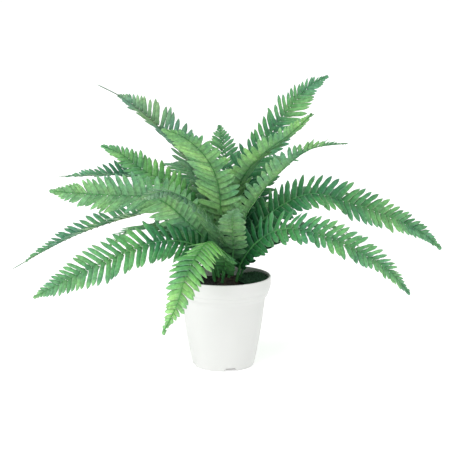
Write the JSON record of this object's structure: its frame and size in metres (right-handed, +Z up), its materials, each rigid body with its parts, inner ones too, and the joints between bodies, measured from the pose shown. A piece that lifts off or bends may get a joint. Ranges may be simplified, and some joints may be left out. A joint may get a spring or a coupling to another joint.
{
  "type": "potted fern",
  "caption": "Bushy fern with long arching once-divided fronds in a white tapered nursery pot filled with dark potting mix.",
  "frame": {"origin": "on the pot's axis at the foot, where the pot stands, which is the bottom centre of the whole plant's box", "axes": "+Z up the pot's axis, +X to the plant's right along its widest spread, -Y towards the plant's front"},
  "size_m": [0.5387, 0.3283, 0.3618],
  "materials": {
    "pot": "white satin plastic",
    "potting_mix": "dark damp bark and peat crumbs",
    "crown": "brown scaly rhizome",
    "moss": "dark green moss",
    "frond": "satin green leaf, paler underneath, with yellow-green tips"
  },
  "bodies": {
    "root": {"pot": "pot", "potting_mix": "potting_mix", "crown": "crown", "moss_patch": "moss", "frond_left_top": "frond", "frond_front_left_high": "frond", "frond_back_high": "frond", "frond_right_top": "frond", "frond_right_high": "frond", "frond_right_mid": "frond", "frond_right_arch": "frond", "frond_right_low": "frond", "frond_left_arch": "frond", "frond_left_low": "frond", "frond_front_left_low": "frond", "frond_left_broad": "frond", "frond_left_back": "frond", "frond_left_mid": "frond", "frond_front_arch": "frond", "frond_front_short": "frond", "frond_back_left_low": "frond", "frond_back_left_mid": "frond", "frond_back_left_high": "frond", "frond_back_left": "frond", "frond_back_right_high": "frond", "frond_back_right": "frond", "frond_back_right_mid": "frond", "frond_back_right_low": "frond", "frond_back_low": "frond", "frond_back_low_left": "frond"}
  },
  "joints": []
}
